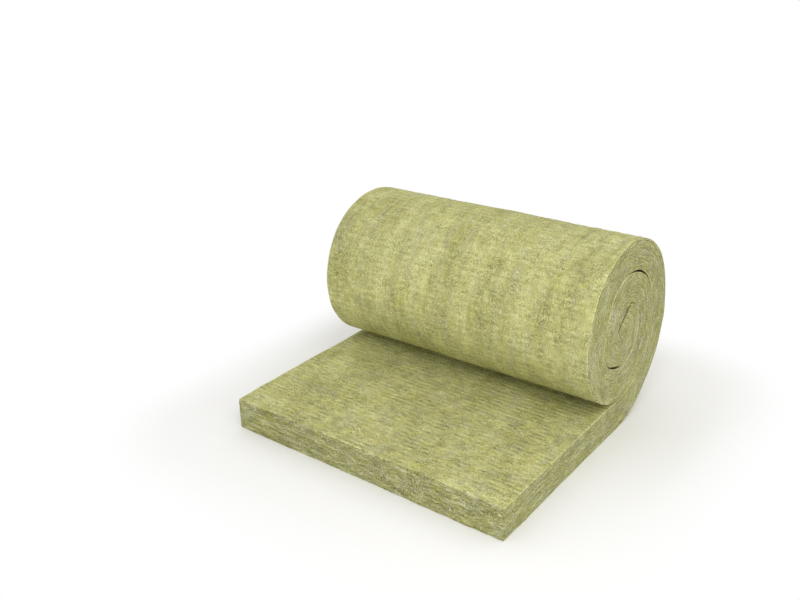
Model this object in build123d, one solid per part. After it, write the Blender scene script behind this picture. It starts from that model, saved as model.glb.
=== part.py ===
from build123d import *
import os

# A mineral wool blanket that is half unrolled. It is one piece: a loose roll with no core and no
# wrapper, and the first stretch of the blanket pulled out flat on the floor in front of it.
# The turns of the roll are pressed together, so it is solid, and the seams between them show on both
# of its cut sides as one spiral groove, which runs in to the folded start of the blanket.
#
# Frame: X along the roll, +Y from the pulled-out end towards the back of the roll, +Z up.
# The origin is on the floor, in the middle of the part's length and width.

# Driving sizes of the blanket and of the roll, in millimetres
blanket_width = 1000
blanket_thickness = 105
laid_length = 700
full_turns = 2
seam_gap = 2
seam_depth = 12
standing_rise = 16

# The start of the blanket, folded hard on itself in the eye of the roll, slopes in degrees
fold_pinch = 11
crease_offset = 8
crease_gap = 3
cut_end_gap = 7
cut_end_slope = 41
cut_tip_angle = 80

# Stretches of the innermost full turn that lie flat and open the seam to a thin crescent, in degrees
flat_angle = 34
upper_flat_angle = 66
lower_flat_angle = 233

# Rounding of the soft corners of the section, and the bevel where the arris of each cut edge frays
top_corner_radius = 12
floor_corner_radius = 8
cut_corner_radius = 6
arris_bevel = 2.5

# A turn is four quarter bends, each a step tighter than the one before, and its back stands a little
# taller than its front, so one pitch from turn to turn is four steps and that rise.
pitch = blanket_thickness + seam_gap
step = (pitch - standing_rise) / 4
roll_radius = full_turns * pitch + blanket_thickness

# All turns share the centres of their bends: back below, back above, front above, front below
bend_centres = [
    Vector(0, roll_radius),
    Vector(step, roll_radius + standing_rise),
    Vector(step, roll_radius + standing_rise + step),
    Vector(0, roll_radius + standing_rise + step),
]


def bend_radius(turn, quarter):
    """Radius of the blanket's outer face in a quarter of a turn, the outermost turn being 0."""
    return roll_radius - turn * pitch - quarter * step


def on_bend(quarter, radius, angle):
    """Point on a bend, at an angle from the back of the roll."""
    return bend_centres[quarter] + Vector(radius, 0).rotate(Axis.Z, angle)


def bend(quarter, radius, start, end):
    """Arc of a bend between two angles."""
    return CenterArc(bend_centres[quarter], radius, start, end - start)


def bend_with_flat(quarter, radius, middle_angle):
    """A quarter bend with one stretch of it lying straight."""
    flat_start = middle_angle - flat_angle / 2
    flat_end = middle_angle + flat_angle / 2
    quarter_start = 90 * quarter - 90
    return [
        bend(quarter, radius, quarter_start, flat_start),
        Line(on_bend(quarter, radius, flat_start), on_bend(quarter, radius, flat_end)),
        bend(quarter, radius, flat_end, quarter_start + 90),
    ]


def back_of_turn(radius):
    """The first quarter of a turn, from the bottom to the back, and the straight rise above it."""
    back = on_bend(0, radius, 0)
    return [bend(0, radius, -90, 0), Line(back, back + Vector(0, standing_rise))]


def face_of_turn(turn, clearance):
    """One turn of a face of the blanket, round from the bottom to the bottom.

    With no clearance it is the outer face of that turn. With the seam gap as clearance it is the
    inner face of the turn that lies round it.
    """
    edges = back_of_turn(bend_radius(turn, 0) + clearance)
    flats = {1: upper_flat_angle, 3: lower_flat_angle}
    has_flats = turn == full_turns - 1 and clearance == 0
    for quarter in (1, 2, 3):
        radius = bend_radius(turn, quarter) + clearance
        if has_flats and quarter in flats:
            edges += bend_with_flat(quarter, radius, flats[quarter])
        else:
            edges.append(bend(quarter, radius, 90 * quarter - 90, 90 * quarter))
    return edges


def face_to_cut_end(clearance):
    """The last stretch of a face: under the folded start, up behind it and over to the cut end."""
    upper_radius = bend_radius(full_turns, 1) + clearance
    return back_of_turn(bend_radius(full_turns, 0) + clearance) + [bend(1, upper_radius, 0, cut_tip_angle)]


# Corners of the folded start: the tip and heel of its cut end, and the crease it is folded at
along_cut = Vector(1, 0).rotate(Axis.Z, cut_end_slope)
cut_tip = on_bend(1, bend_radius(full_turns, 1), cut_tip_angle)
cut_heel = cut_tip - along_cut * blanket_thickness
crease = Vector(-crease_offset, full_turns * pitch + blanket_thickness - fold_pinch)


def folded_start():
    """The cut end, the crease, and the face of the next turn that the cut end leans on."""
    off_cut = along_cut.rotate(Axis.Z, 90) * cut_end_gap
    off_fold = (crease - cut_heel).normalized().rotate(Axis.Z, -90) * crease_gap
    roof_tip = on_bend(1, bend_radius(full_turns, 1) + seam_gap, cut_tip_angle)
    return Polyline(
        cut_tip,
        cut_heel,
        crease,
        crease + off_fold,
        cut_heel + off_cut + off_fold,
        cut_tip + off_cut,
        roof_tip,
    ).edges()


def rounded(section, corners, radius):
    """The section with the corners that lie at these points rounded."""
    for corner in corners:
        section = fillet(section.vertices().sort_by_distance(corner)[0], radius)
    return section


# Where the roll meets the laid stretch: the first seam opens here, between these two points
mouth_floor = Vector(0, blanket_thickness)
mouth_roof = Vector(0, pitch)


def blanket_section():
    """The outline of the blanket: the floor, once round the roll, and back along the laid stretch."""
    floor_corner = Vector(-laid_length, 0)
    top_corner = Vector(-laid_length, blanket_thickness)
    outline = make_face(
        [Line(floor_corner, (0, 0))]
        + face_of_turn(0, 0)
        + [
            Line(mouth_roof, mouth_floor),
            Line(mouth_floor, top_corner),
            Line(top_corner, floor_corner),
        ]
    )
    outline = rounded(outline, [floor_corner], floor_corner_radius)
    return rounded(outline, [top_corner], top_corner_radius)


def seam_section():
    """The spiral seam, from its mouth in to the crease of the folded start."""
    edges = [Line(mouth_floor, mouth_roof)]
    for clearance in (0, seam_gap):
        for turn in range(1, full_turns):
            edges += face_of_turn(turn, clearance)
        edges += face_to_cut_end(clearance)
    return rounded(make_face(edges + folded_start()), [cut_tip, cut_heel], cut_corner_radius)


def wool_blanket():
    """The outline run over the full width, with the seam cut into both cut sides and its arrises."""
    blanket = extrude(Plane.YZ * blanket_section(), blanket_width / 2, both=True)
    for side in (-1, 1):
        cut_side = Plane.YZ.offset(side * blanket_width / 2)
        blanket -= extrude(cut_side * seam_section(), -side * seam_depth)
    cut_sides = blanket.faces().filter_by(Axis.X).group_by(Axis.X)
    blanket = chamfer(cut_sides[0].edges() + cut_sides[-1].edges(), arris_bevel)
    middle_of_length = (roll_radius - laid_length) / 2
    return Pos(0, -middle_of_length, 0) * blanket


os.makedirs("parts", exist_ok=True)
export_step(wool_blanket(), "parts/wool_blanket.step")
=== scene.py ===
import math

import bpy
import numpy as np
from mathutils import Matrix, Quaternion, Vector


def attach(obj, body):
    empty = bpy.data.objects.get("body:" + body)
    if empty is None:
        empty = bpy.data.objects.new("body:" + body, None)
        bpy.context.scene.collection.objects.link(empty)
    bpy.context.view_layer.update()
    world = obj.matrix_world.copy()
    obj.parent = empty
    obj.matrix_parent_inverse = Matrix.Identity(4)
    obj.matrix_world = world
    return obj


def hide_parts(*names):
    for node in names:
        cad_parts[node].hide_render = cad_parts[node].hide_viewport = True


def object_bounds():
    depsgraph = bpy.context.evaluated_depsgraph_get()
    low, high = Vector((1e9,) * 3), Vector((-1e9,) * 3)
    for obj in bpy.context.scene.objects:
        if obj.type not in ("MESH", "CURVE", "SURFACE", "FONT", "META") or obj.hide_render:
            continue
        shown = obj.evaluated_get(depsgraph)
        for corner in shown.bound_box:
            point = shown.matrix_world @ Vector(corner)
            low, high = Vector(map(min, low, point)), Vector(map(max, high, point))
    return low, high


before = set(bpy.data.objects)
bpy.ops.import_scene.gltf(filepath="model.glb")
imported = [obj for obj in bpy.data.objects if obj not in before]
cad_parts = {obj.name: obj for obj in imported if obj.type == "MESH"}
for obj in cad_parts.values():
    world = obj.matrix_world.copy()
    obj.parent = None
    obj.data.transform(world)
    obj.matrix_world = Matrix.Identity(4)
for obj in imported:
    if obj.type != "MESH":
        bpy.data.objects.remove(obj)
cad_low, cad_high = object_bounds()

# The blanket: one long piece of springy stone wool, pressed between two ribbed belts while its binder
# set, slit to width and chopped to length. It is rolled up with no core, and its first stretch is
# pulled out flat on the floor. Both faces carry a yellowish skin, and the cut sides show its layers.

blanket_thickness = 0.105
laid_length = 0.700
full_turns = 2
blanket_width = cad_high.x - cad_low.x
roll_radius = cad_high.y - cad_low.y - laid_length
axis_y = cad_high.y - roll_radius
pitch = (roll_radius - blanket_thickness) / full_turns

# A pitch is four steps and the rise of the back, and the roll is 2 roll_radius + back_rise - step high
back_rise = (cad_high.z - cad_low.z - 2 * roll_radius + pitch / 4) / 1.25
step = (pitch - back_rise) / 4

# The middle points of the four bends of a turn, as y from the axis and z: back below, back above,
# front above and front below. Each bend is one step tighter than the one before.
bend_centres = np.array([
    (0.0, roll_radius),
    (step, roll_radius + back_rise),
    (step, roll_radius + back_rise + step),
    (0.0, roll_radius + back_rise + step),
])

# Where the roll has settled out of its even spiral: degrees turned from the back of the roll, and how
# far the blanket's outer face has moved there, outwards in metres
settled_at = (-90, -52, -8, 90, 140, 200, 270, 310, 400, 480, 522, 556, 628, 690, 728, 768, 802)
settled_by = (0, -0.010, -0.001, -0.004, 0, 0.001, 0, 0.001, 0.001, 0, -0.010, -0.001, -0.010,
              -0.0075, -0.002, 0.003, 0.004)

# Where the second turn has fallen away from the first and the seam opens to a thin dark crescent:
# degrees turned at its middle, half its length in degrees, and how far it opens
crescents = ((430, 36, 0.0052), (607, 24, 0.0060))

# The folded start in the eye: its cut end from tip to heel, the slot above it, and the hard crease.
# The turn outside it runs over the eye from one turn before the tip until it meets the crease.
tip_angle = 802
eye_angle = tip_angle - 360
crease_angle = 630
cut_tip = np.array((0.038, 0.4185))
cut_heel = np.array((-0.037, 0.3550))
crease = np.array((-0.008, 0.308))
slot_width = 0.010
fold_gap = 0.004


def eased(x, at, by):
    """Runs through the values `by` at the places `at`, level at each: a + (b - a) (3 t^2 - 2 t^3)."""
    at, by = np.asarray(at, float), np.asarray(by, float)
    left = np.clip(np.searchsorted(at, x) - 1, 0, len(at) - 2)
    t = np.clip((x - at[left]) / (at[left + 1] - at[left]), 0, 1)
    return by[left] + (by[left + 1] - by[left]) * t * t * (3 - 2 * t)


def smooth(x, low, high):
    """0 below low, 1 above high, and 3 t^2 - 2 t^3 between them."""
    t = np.clip((x - low) / (high - low), 0, 1)
    return t * t * (3 - 2 * t)


def rolled_path(laid_spacing, outer_spacing, inner_spacing):
    """Stations along the blanket, each a middle point, a turning angle and the outer face's radius.

    The laid stretch is a row of middle points one roll_radius above the floor, all at -90 degrees.
    Each turn is four arcs about the bend centres, with a straight rise after the first.
    """
    count = round(laid_length / laid_spacing)
    y = axis_y - laid_length * (1 - np.arange(count) / count)
    middles = [np.stack([y, np.full(count, roll_radius)], 1)]
    angles = [np.full(count, -90.0)]
    radii = [np.full(count, roll_radius)]
    for turn in range(full_turns + 1):
        spacing = inner_spacing if turn else outer_spacing
        for quarter in range(4):
            start = 360 * turn + 90 * quarter - 90
            end = min(start + 90, tip_angle)
            if end <= start:
                break
            radius = roll_radius - turn * pitch - quarter * step
            middle = bend_centres[quarter] + (axis_y, 0)
            count = max(4, round(math.radians(end - start) * radius / spacing))
            middles.append(np.tile(middle, (count, 1)))
            angles.append(start + (end - start) * np.arange(count) / count)
            radii.append(np.full(count, radius))
            if quarter == 0:
                lift = back_rise * np.arange(2) / 2
                middles.append(middle + np.stack([0 * lift, lift], 1))
                angles.append(np.full(2, float(end)))
                radii.append(np.full(2, radius))
    middles.append(bend_centres[1:2] + (axis_y, 0))
    angles.append(np.array([float(tip_angle)]))
    radii.append(np.array([roll_radius - full_turns * pitch - step]))
    return np.concatenate(middles), np.concatenate(angles), np.concatenate(radii)


middles, angles, radii = rolled_path(0.0050, 0.0054, 0.0086)
on_laid = np.arange(len(angles)) < np.argmax(angles > -90)
outwards = np.stack([np.cos(np.radians(angles)), np.sin(np.radians(angles))], 1)

# The outer face follows the spiral as it has settled, and the inner face lies one gap outside the next
# turn's outer face. At a crescent the second turn's outer face sinks by depth (1 - (off / half)^2)^2.
outer_radii = radii + np.where(on_laid, 0, eased(angles, settled_at, settled_by))
for middle, half, opening in crescents:
    off = np.clip((angles - middle) / half, -1, 1)
    outer_radii = outer_radii - opening * (1 - off ** 2) ** 2
inner_radii = radii - blanket_thickness + np.where(on_laid, 0, eased(angles + 360, settled_at, settled_by))
outer_points = middles + outwards * outer_radii[:, None]
inner_points = middles + outwards * inner_radii[:, None]

# In the eye there is no next turn: the inner face lies over the cut end, and then along the fold
along_cut = (cut_tip - cut_heel) / np.linalg.norm(cut_tip - cut_heel)
off_cut = np.array((-along_cut[1], along_cut[0]))
along_fold = (cut_heel - crease) / np.linalg.norm(cut_heel - crease)
off_fold = np.array((-along_fold[1], along_fold[0]))
roof = np.array([
    cut_tip + off_cut * slot_width * 0.7,
    cut_tip - along_cut * 0.027 + off_cut * slot_width * 1.2,
    cut_tip - along_cut * 0.048 + off_cut * slot_width * 0.8,
    cut_tip - along_cut * 0.077 + off_cut * slot_width * 1.1,
    cut_heel + off_cut * slot_width * 0.9 + off_fold * fold_gap,
    cut_heel - along_fold * 0.018 + off_fold * fold_gap,
    crease,
])
roof_at = (eye_angle, 468, 494, 524, 556, 582, crease_angle)
over_eye = (angles >= eye_angle) & (angles < crease_angle)
in_eye = angles >= crease_angle
for axis in range(2):
    shift = axis_y if axis == 0 else 0
    over = np.interp(angles, roof_at, roof[:, axis]) + shift
    fold = np.interp(angles, (crease_angle, tip_angle), (crease[axis], cut_heel[axis])) + shift
    inner_points[:, axis] = np.where(over_eye, over, np.where(in_eye, fold, inner_points[:, axis]))
near_tip = smooth(angles, tip_angle - 25, tip_angle)[:, None]
outer_points += near_tip * (cut_tip + (axis_y, 0) - outer_points[-1])

core_line = (outer_points + inner_points) / 2
strip_length = np.concatenate([[0], np.cumsum(np.linalg.norm(np.diff(core_line, axis=0), axis=1))])
full_length = strip_length[-1]
laid_end = strip_length[np.argmax(~on_laid)]

# Degrees turned where the outside of the roll comes down on the laid stretch, and the length there
nip_angle = 262
seam_start = float(np.interp(nip_angle, angles, strip_length))


def edge_spaced(length, spacing, edge_rows):
    """Places from 0 to length, close together in the rounding at both ends and even between."""
    inner = length - 2 * edge_rows[-1]
    count = round(inner / spacing)
    middle = edge_rows[-1] + inner * np.arange(1, count) / count
    return np.concatenate([edge_rows, middle, length - np.asarray(edge_rows)[::-1]])


edge_rows = np.array((0, 0.0012, 0.0026, 0.0044, 0.0068))
through = edge_spaced(blanket_thickness, 0.0050, edge_rows)
across = edge_spaced(blanket_width, 0.0115, edge_rows)


def lattice_noise(points, cell, seed):
    """Smooth noise from -1 to 1: random values on a lattice, blended with 3 t^2 - 2 t^3 each way."""
    place = points / np.asarray(cell)
    place = place - place.min(0)
    low = np.floor(place).astype(int)
    t = place - low
    t = t * t * (3 - 2 * t)
    values = np.random.default_rng(seed).uniform(-1, 1, low.max(0) + 2)
    total = np.zeros(len(points))
    for corner in np.ndindex(2, 2, 2):
        weight = np.prod(np.where(np.array(corner) == 1, t, 1 - t), axis=1)
        total += weight * values[tuple((low + corner).T)]
    return total


def shell_faces(fine_outer, fine_inner, counts):
    """Faces of the outside of a grid of stations by thickness by width, as lists of grid numbers.

    The two broad faces are as fine as the grid where their stations are marked, and elsewhere, where
    the next turn hides them, each face spans eight columns. A wide face beside fine ones takes in
    their corners, so the shell stays closed.
    """
    number = np.arange(np.prod(counts)).reshape(counts)
    faces = []

    def quads(sheet, flipped):
        corners = [sheet[:-1, :-1], sheet[1:, :-1], sheet[1:, 1:], sheet[:-1, 1:]]
        made = np.stack([c.ravel() for c in corners], 1)
        faces.extend((made[:, ::-1] if flipped else made).tolist())

    quads(number[0], True)
    quads(number[-1], False)
    quads(number[:, :, 0], True)
    quads(number[:, :, -1], False)
    last = counts[2] - 1
    edge = len(edge_rows)
    wide = 8
    kept = np.concatenate([
        np.arange(edge),
        np.arange(edge + wide - 1, last - edge - 3, wide),
        np.arange(last - edge + 1, last + 1),
    ])
    for sheet, fine, flipped in ((number[:, 0], fine_outer, False), (number[:, -1], fine_inner, True)):
        both = fine[:-1] & fine[1:]
        neither = ~fine[:-1] & ~fine[1:]
        for rows in np.flatnonzero(both):
            quads(sheet[rows:rows + 2], flipped)
        for rows in np.flatnonzero(neither):
            quads(sheet[rows:rows + 2][:, kept], flipped)
        for row in np.flatnonzero(fine[:-1] != fine[1:]):
            near, far = (sheet[row], sheet[row + 1]) if fine[row] else (sheet[row + 1], sheet[row])
            turned = flipped != bool(fine[row + 1])
            for a, b in zip(kept[:-1], kept[1:]):
                made = near[a:b + 1].tolist() + [int(far[b]), int(far[a])]
                faces.append(made if turned else made[::-1])
    return faces


# What of the broad faces shows: the top of the laid stretch up to the roll, and the outside of the
# roll. Both faces are fine there, and in the last rows at both ends of the blanket.
top_shows = 1 - smooth(strip_length, laid_end - 0.100, laid_end - 0.040)
roll_shows = smooth(angles, -88, -74) * (1 - smooth(angles, nip_angle - 19, nip_angle)) * ~on_laid
row_numbers = np.arange(len(angles))
first_rows = row_numbers < 12
last_rows = row_numbers > len(angles) - 4
fine_outer = (angles > -89) & (angles < nip_angle + 7) | first_rows | last_rows
fine_inner = (strip_length < laid_end - 0.004) | last_rows

counts = (len(angles), len(through), len(across))
faces = shell_faces(fine_outer, fine_inner, counts)
used = np.unique(np.concatenate([np.asarray(f) for f in faces]))
station, layer, column = np.unravel_index(used, counts)

# Every corner has a place in the unrolled blanket: s along it, v through it and w across it
s, v, w = strip_length[station], through[layer], across[column]
unrolled = np.stack([s, v, w], 1)
size = np.array((full_length, blanket_thickness, blanket_width))

# The arrises are torn a little round, and raggedly in the eye. A corner lies where it is pulled from
# the box inside the rounding: the nearest place of that box, and one corner_radius out from there.
round_eye = smooth(angles, eye_angle - 15, eye_angle + 5)
round_eye = round_eye * (1 - smooth(angles, crease_angle - 40, crease_angle - 5))
wobble = lattice_noise(unrolled, (0.030, 0.05, 0.030), 3)
on_seam = np.where(v > blanket_thickness / 2, ~on_laid[station], angles[station] > nip_angle + 6)
lip = 0.0034 + 0.0010 * lattice_noise(unrolled, (0.075, 0.05, 1.0), 4) + 0.0008 * wobble
by_eye = np.where(v > blanket_thickness / 2, round_eye[station], 0) + (s > full_length - 0.01)
lip = lip + 0.0016 * by_eye * lattice_noise(unrolled, (0.011, 0.011, 1.0), 5)
front_round = 0.0008 * np.exp(-s / 0.02) * (v / blanket_thickness)
corner_radius = np.where(on_seam, lip, 0.0030 + 0.0010 * wobble) + front_round
inner_box = np.clip(unrolled, corner_radius[:, None], size - corner_radius[:, None])
pull = unrolled - inner_box
pull /= np.linalg.norm(pull, axis=1)[:, None]
rounded = inner_box + pull * corner_radius[:, None]

# Relief of the faces, outwards in metres: broad swells, lumps of fibre, and the ribs of the belts
rib_pitch = 0.0194
swell = lattice_noise(rounded, (0.140, 0.1, 0.170), 11)
lump = lattice_noise(rounded, (0.034, 0.05, 0.040), 12)
drift = lattice_noise(rounded, (0.25, 0.1, 0.20), 13)
rib = np.sin(2 * math.pi * s / rib_pitch + 1.2 * drift)
rib_depth = 0.0003 + 0.0003 * lattice_noise(rounded, (0.12, 0.1, 0.09), 14)
face_relief = 0.0016 * swell + 0.0009 * lump + rib_depth * rib
shows = np.where(v > blanket_thickness / 2, (top_shows + round_eye)[station], roll_shows[station])

# Relief of the cut sides: thin layers that run along the blanket, and a saw's broad drift
layers = lattice_noise(rounded, (0.080, 0.0095, 0.05), 21)
layers = layers + 0.6 * lattice_noise(rounded, (0.03, 0.0085, 0.05), 22)
side_relief = 0.0010 * layers + 0.0014 * lattice_noise(rounded, (0.12, 0.04, 0.5), 23)

# Relief of the pulled-out edge: the same layers chopped across, wavy and rough
wave = 0.006 * lattice_noise(rounded, (0.1, 0.1, 0.09), 31)
chopped = rounded + np.stack([0 * wave, wave, 0 * wave], 1)
ends = lattice_noise(chopped, (0.05, 0.0085, 0.055), 32)
ends = ends + 0.6 * lattice_noise(chopped, (0.05, 0.010, 0.021), 33)
end_relief = 0.0016 * ends + 0.0018 * lattice_noise(rounded, (0.5, 0.06, 0.13), 34)

# Each relief counts as much as the corner looks its way, and moves the corner straight outwards
weight = pull ** 2
relief = weight[:, 0] * end_relief + weight[:, 1] * face_relief * shows + weight[:, 2] * side_relief
shaped = rounded + pull * relief[:, None]

ahead = np.gradient(core_line, axis=0)
ahead /= np.linalg.norm(ahead, axis=1)[:, None]


def rolled_up(places):
    """Unrolled places put back in the roll, as x, y and z.

    A place lies on the straight line from the outer face to the inner face at its length along the
    blanket, as far up it as it lies through the blanket, and past either end it lies straight ahead.
    """
    along = np.clip(places[:, 0], 0, full_length)
    share = places[:, 1] / blanket_thickness
    rolled = [places[:, 2] - blanket_width / 2]
    for axis in range(2):
        outer, inner, forward = (np.interp(along, strip_length, track[:, axis])
                                 for track in (outer_points, inner_points, ahead))
        rolled.append(outer + (inner - outer) * share + forward * (places[:, 0] - along))
    return np.stack(rolled, 1)


corners = rolled_up(shaped)

renumbered = np.zeros(np.prod(counts), int)
renumbered[used] = np.arange(len(used))
blanket_mesh = bpy.data.meshes.new("wool_blanket_looks")
blanket_mesh.from_pydata(corners.tolist(), [], [renumbered[f].tolist() for f in faces])
blanket_mesh.polygons.foreach_set("use_smooth", np.ones(len(faces), bool))
unrolled_places = blanket_mesh.attributes.new("unrolled", "FLOAT_VECTOR", "POINT")
unrolled_places.data.foreach_set("vector", rounded.astype(np.float32).ravel())
blanket_mesh.update()
blanket = bpy.data.objects.new("mineral_wool_blanket", blanket_mesh)
bpy.context.scene.collection.objects.link(blanket)


class Shade:
    """A value in a material: arithmetic on it adds the Math nodes that work it out."""

    def __init__(self, tree, socket):
        self.tree = tree
        self.socket = socket

    def add_node(self, kind, settings, inputs, output=0):
        """A new node: its settings or a ramp's stops first, then the values or links of its sockets."""
        node = self.tree.nodes.new("ShaderNode" + kind)
        for name, value in settings.items():
            if name == "stops":
                elements = node.color_ramp.elements
                while len(elements) < len(value):
                    elements.new(1.0)
                for element, (position, stop_colour) in zip(elements, value):
                    element.position = position
                    element.color = (*stop_colour, 1)
            else:
                setattr(node, name, value)
        for name, value in inputs.items():
            if isinstance(value, Shade):
                self.tree.links.new(value.socket, node.inputs[name])
            else:
                node.inputs[name].default_value = value
        return Shade(self.tree, node.outputs[output])

    def math(self, operation, *values):
        """What a Math node makes of these values."""
        return self.add_node("Math", {"operation": operation}, dict(enumerate(values)))

    def __add__(self, other):
        return self.math("ADD", self, other)

    def __radd__(self, other):
        return self.math("ADD", other, self)

    def __sub__(self, other):
        return self.math("SUBTRACT", self, other)

    def __rsub__(self, other):
        return self.math("SUBTRACT", other, self)

    def __mul__(self, other):
        return self.math("MULTIPLY", self, other)

    def __rmul__(self, other):
        return self.math("MULTIPLY", other, self)

    def step(self, low, high):
        """0 at low, 1 at high, and eased between them."""
        inputs = {0: self, 1: low, 2: high, 3: 0.0, 4: 1.0}
        return self.add_node("MapRange", {"interpolation_type": "SMOOTHSTEP"}, inputs)

    def scaled(self, along, through, across):
        """The vector with its three parts multiplied."""
        return self.add_node("VectorMath", {"operation": "MULTIPLY"}, {0: self, 1: (along, through, across)})

    def noise(self, detail, roughness=0.5):
        """Noise about 0, from -0.5 to 0.5, of one cell to each unit of this vector."""
        inputs = {"Vector": self, "Scale": 1.0, "Detail": detail, "Roughness": roughness}
        return self.add_node("TexNoise", {}, inputs) - 0.5

    def ramp(self, *stops):
        """The colour at this value on a ramp of stops, each a position and its red, green and blue."""
        return self.add_node("ValToRGB", {"stops": stops}, {0: self})

    def mixed(self, low, high):
        """The value that lies this share of the way from low to high."""
        return low + self * (high - low)

    def between(self, low, high):
        """The colour that lies this share of the way from low to high."""
        inputs = {0: self, 6: low, 7: high}
        return self.add_node("Mix", {"data_type": "RGBA", "clamp_factor": True}, inputs, 2)


def colour(red, green, blue):
    """An opaque colour, as a socket takes it."""
    return (red, green, blue, 1)


def wool_material(name):
    """Stone wool on the blanket's own places: skin on both faces, grey layers on the cuts."""
    made = bpy.data.materials.new(name)
    made.use_nodes = True
    tree = made.node_tree
    shader = tree.nodes["Principled BSDF"]
    start = Shade(tree, None)
    place = start.add_node("Attribute", {"attribute_name": "unrolled"}, {}, 1)
    along = start.add_node("SeparateXYZ", {}, {0: place}, 0)
    through = start.add_node("SeparateXYZ", {}, {0: place}, 1)
    across = start.add_node("SeparateXYZ", {}, {0: place}, 2)

    # How far under the nearer face, and how far in from the nearer cut side and from the pulled-out edge
    depth = start.math("MINIMUM", through, blanket_thickness - through)
    inset = start.math("MINIMUM", across, blanket_width - across)
    ragged = place.scaled(90, 90, 90).noise(3)
    skin = 1 - (depth + 0.0025 * ragged).step(0.0005, 0.0022)
    arris = skin * (1 - (inset + 0.004 * ragged).step(0.0008, 0.0044))
    chopped = 1 - along.step(0.004, 0.014)

    # Painted shade deep in the seams, where one turn lies on the next, and on the cut end in the eye
    outer_half = 1 - through.step(0.4 * blanket_thickness, 0.6 * blanket_thickness)
    inner_covered = along.step(laid_end - 0.03, laid_end)
    outer_covered = along.step(seam_start, seam_start + 0.02)
    on_cut_end = along.step(full_length - 0.003, full_length - 0.001)
    in_seam = start.math("MAXIMUM", outer_half.mixed(inner_covered, outer_covered) * skin, on_cut_end)
    painted_seam_shade = in_seam * (inset + 0.002 * ragged).step(0.0024, 0.0052)

    # Clouds of more and less binder, patches of wool, and fibre that lies calmer here and wilder there
    clouds = place.scaled(6, 5, 7).noise(2, 0.6)
    patches = place.scaled(28, 28, 24).noise(3, 0.6)
    wild = 1.0 + 2.4 * place.scaled(19, 19, 16).noise(2)
    grain = wild * place.scaled(200, 200, 200).noise(2, 0.75)
    dashes = wild * place.scaled(104, 40, 36).noise(2, 0.6)
    bands = place.scaled(3.2, 5, 15).noise(3, 0.6)
    streaks = place.scaled(24, 60, 72).noise(3, 0.65)
    greyness = place.scaled(17, 17, 17).noise(3, 0.65)
    yellowness = place.scaled(42, 42, 42).noise(3, 0.65)
    curls = 1 - start.math("ABSOLUTE", place.scaled(88, 88, 88).noise(2, 0.6)).step(0.003, 0.016)
    curls = curls * place.scaled(31, 31, 31).noise(2).step(0.03, 0.14)
    loops = 1 - start.math("ABSOLUTE", place.scaled(64, 64, 64).noise(1)).step(0.006, 0.026)
    loops = loops * place.scaled(13, 13, 13).noise(1).step(0.08 - 0.08 * chopped, 0.16 - 0.06 * chopped)

    # Layers on the cuts, thin through the blanket and long along it, and wavier where it was chopped
    bent = 0.008 * place.scaled(9, 9, 9).noise(2) + chopped * (0.034 * place.scaled(19, 19, 19).noise(2))
    layered = start.add_node("CombineXYZ", {}, {0: along, 1: through + bent, 2: across})
    lamella = layered.scaled(8, 150, 12).noise(3, 0.65)
    folds = chopped * layered.scaled(30, 62, 13).noise(2, 0.55)
    bundles = layered.scaled(30, 300, 34).noise(2, 0.7)
    pale_layer = layered.scaled(14, 125, 20).noise(2).step(0.10, 0.20)
    gap = (0.0 - layered.scaled(20, 190, 24).noise(2)).step(0.09, 0.20)

    # Ribs that the belt pressed into both faces, worn away in places
    ribs = start.math("SINE", along * (2 * math.pi / rib_pitch) + 6 * place.scaled(6, 1, 7).noise(2))
    ribs = ribs * place.scaled(34, 5, 42).noise(2).step(-0.08, 0.12)

    # How light the wool is on the faces and on the cuts, about 0, and the colours that go with it
    on_roll = along.step(laid_end - 0.02, laid_end + 0.02)
    face_tone = (0.70 - 0.10 * on_roll) * clouds + (0.60 - 0.10 * on_roll) * patches
    face_tone = face_tone + (0.15 - 0.06 * on_roll) * ribs
    face_tone = face_tone + (2.1 - 0.3 * on_roll) * grain + (0.9 - 0.40 * on_roll) * dashes
    face_tone = face_tone + (0.15 + 0.50 * on_roll) * streaks + 0.60 * on_roll * bands
    cut_tone = 0.45 * clouds + (0.50 + 0.30 * chopped) * patches + (1.0 + 0.5 * chopped) * lamella
    cut_tone = cut_tone + 1.5 * bundles + 2.3 * grain + 1.2 * folds
    face_colour = (face_tone + 0.5).ramp(
        (0.05, (0.230, 0.224, 0.078)), (0.30, (0.372, 0.367, 0.138)), (0.50, (0.480, 0.477, 0.193)),
        (0.72, (0.600, 0.600, 0.262)), (0.95, (0.740, 0.740, 0.390)))
    grey_face = (face_tone + 0.5).ramp(
        (0.05, (0.215, 0.207, 0.090)), (0.30, (0.345, 0.336, 0.158)), (0.50, (0.440, 0.431, 0.220)),
        (0.72, (0.550, 0.541, 0.310)), (0.95, (0.690, 0.682, 0.440)))
    yellow_face = (face_tone + 0.5).ramp(
        (0.05, (0.265, 0.258, 0.048)), (0.50, (0.525, 0.518, 0.130)), (0.95, (0.780, 0.780, 0.330)))
    cut_colour = (cut_tone + 0.5).ramp(
        (0.05, (0.165, 0.163, 0.050)), (0.30, (0.285, 0.284, 0.098)), (0.50, (0.388, 0.386, 0.145)),
        (0.72, (0.508, 0.506, 0.220)), (0.95, (0.675, 0.672, 0.370)))
    grey_cut = (cut_tone + 0.5).ramp(
        (0.05, (0.178, 0.176, 0.080)), (0.30, (0.303, 0.300, 0.145)), (0.50, (0.402, 0.399, 0.210)),
        (0.72, (0.520, 0.517, 0.298)), (0.95, (0.685, 0.681, 0.435)))

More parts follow.
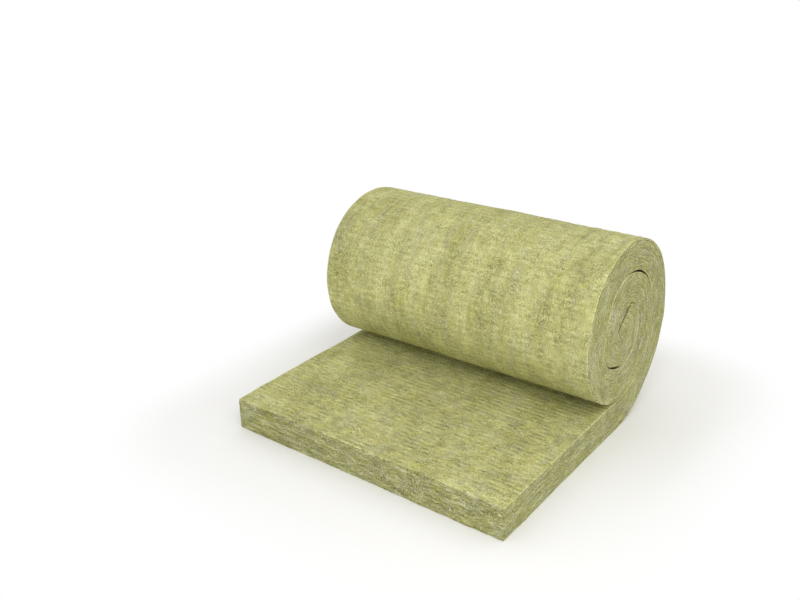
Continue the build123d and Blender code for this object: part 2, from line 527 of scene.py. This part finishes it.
    # The faces: greyer and yellower by patches, in streaks round the roll, with a little tan binder
    greyness_there = greyness + on_roll * (place.scaled(5, 9, 36).noise(3, 0.65) - greyness)
    yellowness_there = yellowness + on_roll * (place.scaled(9, 20, 75).noise(3, 0.65) - yellowness)
    face_colour = (greyness_there.step(0.00, 0.14) * 0.75).between(face_colour, grey_face)
    face_colour = (yellowness_there.step(0.04, 0.15) * 0.55).between(face_colour, yellow_face)
    tan = place.scaled(7, 11, 26).noise(3, 0.6).step(0.08, 0.20)
    tan_binder = colour(0.560, 0.470, 0.160)
    face_colour = (tan * 0.22).between(face_colour, tan_binder)

    # The cuts: greyer and yellower by patches, with pale layers and painted shadow in the gaps between them
    olive_binder = colour(0.400, 0.395, 0.090)
    pale_fibre = colour(0.660, 0.645, 0.450)
    gap_shadow = colour(0.170, 0.162, 0.060)
    chopped_shadow = colour(0.200, 0.198, 0.060)
    cut_colour = (greyness.step(-0.06, 0.12) * (0.90 - 0.12 * chopped)).between(cut_colour, grey_cut)
    cut_colour = (yellowness.step(0.04, 0.14) * (0.50 + 0.15 * chopped)).between(cut_colour, olive_binder)
    cut_colour = (pale_layer * 0.50).between(cut_colour, pale_fibre)
    # Painted shadow in the gaps between the layers
    cut_colour = (gap * (0.35 + 0.10 * chopped)).between(cut_colour, gap_shadow)
    cut_colour = (chopped * 0.15).between(cut_colour, chopped_shadow)

    # Over both: pale torn arrises, fine curls and wide loops of fibre, and painted shade deep in the seams
    torn_arris = colour(0.720, 0.712, 0.370)
    curl_fibre = colour(0.700, 0.690, 0.480)
    loop_fibre = colour(0.740, 0.730, 0.500)
    seam_shadow = colour(0.110, 0.106, 0.045)
    base = skin.between(cut_colour, face_colour)
    broken = place.scaled(70, 30, 70).noise(2, 0.6).step(-0.10, 0.10)
    base = (arris * (0.30 + 0.35 * broken + 0.40 * in_seam)).between(base, torn_arris)
    base = (curls * 0.35).between(base, curl_fibre)
    base = (loops * (0.60 + 0.15 * chopped)).between(base, loop_fibre)
    # Painted shade: the wool deep in the seams and on the cut end in the eye is darkened in its colour
    base = (painted_seam_shade * 0.75).between(base, seam_shadow)

    face_height = 0.35 * dashes + 0.10 * ribs + 0.35 * patches
    cut_height = 1.0 * lamella + 0.8 * bundles - 0.25 * gap
    height = 0.9 * grain + 0.3 * curls + 0.4 * loops + skin * face_height + (1 - skin) * cut_height
    bump = start.add_node("Bump", {}, {"Strength": 0.8, "Distance": 0.004, "Height": height})
    tree.links.new(base.socket, shader.inputs["Base Color"])
    tree.links.new(bump.socket, shader.inputs["Normal"])
    shader.inputs["Roughness"].default_value = 0.92
    shader.inputs["Specular IOR Level"].default_value = 0.2
    return made


blanket_mesh.materials.append(wool_material("stone_wool"))
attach(blanket, "root")
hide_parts("wool_blanket")

# Loose wool: pale strands that the belts and the saw have pulled half out of the blanket. They curl
# over its two faces and its cuts, singly and in tufts, with both ends still in the wool.

strand_rings = 6
strand_sunk = 0.0006
arris_clear = 0.003
floor_clear = 0.0002
tuft_spread = 0.006


def strands(name, low, high, first, second, count, seed):
    """Curled strands on a face of the unrolled blanket, the box from low to high, which is flat.

    A third of them start in tufts of about ten, and the rest anywhere. first and second lie in the
    face, and first x second points out of it. A strand's heading turns evenly along it, so it is an
    arc, and it stands up from the face by lift sin(pi u) - strand_sunk at the share u of its length.
    It is a tube of three sides that is thinnest at its ends. A strand that comes nearer to an arris
    than arris_clear is left out.
    """
    chance = np.random.default_rng(seed)
    low, high, first, second = (np.array(side, float) for side in (low, high, first, second))
    outward = np.cross(first, second)
    starts = chance.uniform(low, high, (count, 3))
    in_tufts = count // 3
    tuft_count = count // 30
    tufts = chance.uniform(low, high, (tuft_count, 3))[chance.integers(0, tuft_count, in_tufts)]
    starts[:in_tufts] = tufts + chance.normal(0, tuft_spread, (in_tufts, 3)) * (high > low)
    length = chance.uniform(0.008, 0.026, (count, 1))
    heading = chance.uniform(0, 2 * math.pi, (count, 1))
    turn = chance.normal(0, 1.9, (count, 1))
    lift = chance.uniform(0.0003, 0.0014, (count, 1))
    radius = chance.uniform(0.0002, 0.00045, (count, 1, 1))
    u = np.linspace(0, 1, strand_rings)
    step_heading = heading + turn * (u[:-1] + u[1:]) / 2
    run = length / (strand_rings - 1)
    none = np.zeros((count, 1))
    right = np.concatenate([none, np.cumsum(run * np.cos(step_heading), axis=1)], 1)
    up = np.concatenate([none, np.cumsum(run * np.sin(step_heading), axis=1)], 1)
    out = lift * np.sin(math.pi * u) - strand_sunk
    middle = starts[:, None] + right[..., None] * first + up[..., None] * second + out[..., None] * outward
    free = (high == low) | (middle > low + arris_clear) & (middle < high - arris_clear)
    kept = free.all(axis=(1, 2))
    middle, radius, count = middle[kept], radius[kept], int(kept.sum())
    tangent = np.gradient(middle, axis=1)
    sideways = np.cross(outward, tangent)
    sideways /= np.linalg.norm(sideways, axis=2)[..., None]
    swelling = radius * (0.35 + 0.65 * np.sin(math.pi * u))[None, :, None]
    round_it = 2 * math.pi * np.arange(3) / 3
    rings = [middle + swelling * (math.cos(a) * sideways + math.sin(a) * outward) for a in round_it]
    corners = rolled_up(np.stack(rings, 2).reshape(-1, 3))
    corners[:, 2] = np.maximum(corners[:, 2], floor_clear)

    number = np.arange(len(corners)).reshape(count, strand_rings, 3)
    turned = np.roll(number, -1, axis=2)
    sides = np.stack([number[:, :-1], turned[:, :-1], turned[:, 1:], number[:, 1:]], 3).reshape(-1, 4)
    caps = np.concatenate([number[:, 0, ::-1], number[:, -1]])
    mesh = bpy.data.meshes.new(name)
    mesh.from_pydata(corners.tolist(), [], sides.tolist() + caps.tolist())
    mesh.polygons.foreach_set("use_smooth", np.ones(len(mesh.polygons), bool))
    for tone in strand_tones:
        mesh.materials.append(tone)
    worn = chance.integers(0, len(strand_tones), count)
    worn_by_faces = np.concatenate([np.repeat(worn, 3 * (strand_rings - 1)), worn, worn])
    mesh.polygons.foreach_set("material_index", worn_by_faces.astype(np.int32))
    mesh.update()
    piece = bpy.data.objects.new(name, mesh)
    bpy.context.scene.collection.objects.link(piece)
    return piece


def strand_material(name, red, green, blue):
    """One plain tone of loose wool: a strand is too thin to show more than one."""
    made = bpy.data.materials.new(name)
    made.use_nodes = True
    shader = made.node_tree.nodes["Principled BSDF"]
    shader.inputs["Base Color"].default_value = (red, green, blue, 1)
    shader.inputs["Roughness"].default_value = 0.85
    shader.inputs["Specular IOR Level"].default_value = 0.25
    return made


strand_tones = [
    strand_material("olive_wool_strand", 0.480, 0.474, 0.200),
    strand_material("straw_wool_strand", 0.610, 0.600, 0.310),
    strand_material("cream_wool_strand", 0.740, 0.730, 0.490),
]
roll_start = float(np.interp(-70, angles, strip_length))
roll_end = float(np.interp(238, angles, strip_length))
way_along, way_through, way_across = np.eye(3)
laid_corner = (laid_end - 0.070, blanket_thickness, blanket_width)
far_corner = (full_length, blanket_thickness, blanket_width)
strewings = {
    "loose_wool_on_laid_face": ((0, blanket_thickness, 0), laid_corner, way_across, way_along, 5400),
    "loose_wool_on_roll": ((roll_start, 0, 0), (roll_end, 0, blanket_width), way_along, way_across, 5800),
    "loose_wool_on_right_cut": ((0, 0, blanket_width), far_corner, way_along, way_through, 4200),
    "loose_wool_on_left_cut": ((0, 0, 0), (*far_corner[:2], 0), way_through, way_along, 4200),
    "loose_wool_on_front_edge": ((0, 0, 0), (0, *far_corner[1:]), way_across, way_through, 2200),
}
for seed, (name, (low, high, first, second, count)) in enumerate(strewings.items(), 41):
    tuft = strands(name, low, high, first, second, count, seed)
    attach(tuft, "root")

# The studio: a white sweep of floor that keeps the blanket's shadow, an even pale surround, and one
# wide soft lamp overhead. What the camera sees past the shadow is plain white.


def seen_directly(tree):
    """1 on rays that show a surface itself, from the camera, off a gloss or through glass."""
    start = Shade(tree, None)
    camera, gloss, glass = (start.add_node("LightPath", {}, {}, f"Is {kind} Ray")
                            for kind in ("Camera", "Glossy", "Transmission"))
    return start.math("MAXIMUM", camera, start.math("MAXIMUM", gloss, glass))


floor_mesh = bpy.data.meshes.new("floor")
floor_half = 30.0
floor_signs = ((-1, -1), (1, -1), (1, 1), (-1, 1))
floor_corners = [(x * floor_half, y * floor_half, 0) for x, y in floor_signs]
floor_mesh.from_pydata(floor_corners, [], [(0, 1, 2, 3)])
floor = bpy.data.objects.new("floor", floor_mesh)
bpy.context.scene.collection.objects.link(floor)
floor_material = bpy.data.materials.new("white_sweep")
floor_material.use_nodes = True
floor_tree = floor_material.node_tree
floor_shader = floor_tree.nodes["Principled BSDF"]
floor_shader.inputs["Base Color"].default_value = (0.92, 0.915, 0.905, 1)
floor_shader.inputs["Roughness"].default_value = 0.9
floor_shader.inputs["Specular IOR Level"].default_value = 0.0

# How far a place on the floor lies outside the blanket's box, and so how bare of shadow it is
box_half = (cad_high.x, cad_high.y, 0)
shadow_whole = 0.18
shadow_gone = 0.45
floor_start = Shade(floor_tree, None)
floor_place = floor_start.add_node("TexCoord", {}, {}, 3)
spread = floor_start.add_node("VectorMath", {"operation": "ABSOLUTE"}, {0: floor_place.scaled(1, 1, 0)})
spread = floor_start.add_node("VectorMath", {"operation": "SUBTRACT"}, {0: spread, 1: box_half})
spread = floor_start.add_node("VectorMath", {"operation": "MAXIMUM"}, {0: spread, 1: (0, 0, 0)})
away = floor_start.add_node("VectorMath", {"operation": "LENGTH"}, {0: spread}, 1)
white = floor_start.add_node("Emission", {}, {"Color": (1, 1, 1, 1), "Strength": 1.0})
bare = away.step(shadow_whole, shadow_gone) * seen_directly(floor_tree)
shaded = Shade(floor_tree, floor_shader.outputs[0])
mixed = floor_start.add_node("MixShader", {}, {0: bare, 1: shaded, 2: white})
floor_tree.links.new(mixed.socket, floor_tree.nodes["Material Output"].inputs["Surface"])
floor_mesh.materials.append(floor_material)

surround_strength = 0.90
world = bpy.data.worlds.new("surround")
bpy.context.scene.world = world
world.use_nodes = True
world_tree = world.node_tree
background = world_tree.nodes["Background"]
background.inputs["Color"].default_value = (1, 1, 1, 1)
strength = surround_strength + (1 - surround_strength) * seen_directly(world_tree)
world_tree.links.new(strength.socket, background.inputs["Strength"])

lamp = bpy.data.lights.new("softbox", "AREA")
lamp.shape = "DISK"
lamp.size = 2.6
lamp.energy = 27
softbox = bpy.data.objects.new("softbox", lamp)
softbox.location = (1.6, -1.7, 2.4)
softbox.rotation_mode = "QUATERNION"
softbox.rotation_quaternion = (Vector((0, 0, 0.2)) - softbox.location).to_track_quat("-Z", "Y")
bpy.context.scene.collection.objects.link(softbox)

# The camera stands off the right front corner and looks down on the roll
camera_azimuth = math.radians(37.85)
camera_elevation = math.radians(21.12)
camera_distance = 3.310
camera_target = Vector((-0.370, 0.1925, 0.388))
camera_roll = math.radians(-1.47)
focal_pixels = 918.5
picture_width = 800
camera_data = bpy.data.cameras.new("camera")
camera_data.sensor_width = 36
camera_data.lens = focal_pixels / picture_width * camera_data.sensor_width
camera_data.shift_y = -0.05
camera = bpy.data.objects.new("camera", camera_data)
towards_camera = Vector((
    math.sin(camera_azimuth) * math.cos(camera_elevation),
    -math.cos(camera_azimuth) * math.cos(camera_elevation),
    math.sin(camera_elevation),
))
camera.location = camera_target + towards_camera * camera_distance
camera.rotation_mode = "QUATERNION"
camera.rotation_quaternion = (-towards_camera).to_track_quat("-Z", "Y") @ Quaternion((0, 0, 1), camera_roll)
bpy.context.scene.collection.objects.link(camera)
bpy.context.scene.camera = camera
bpy.context.scene.view_settings.view_transform = "Standard"
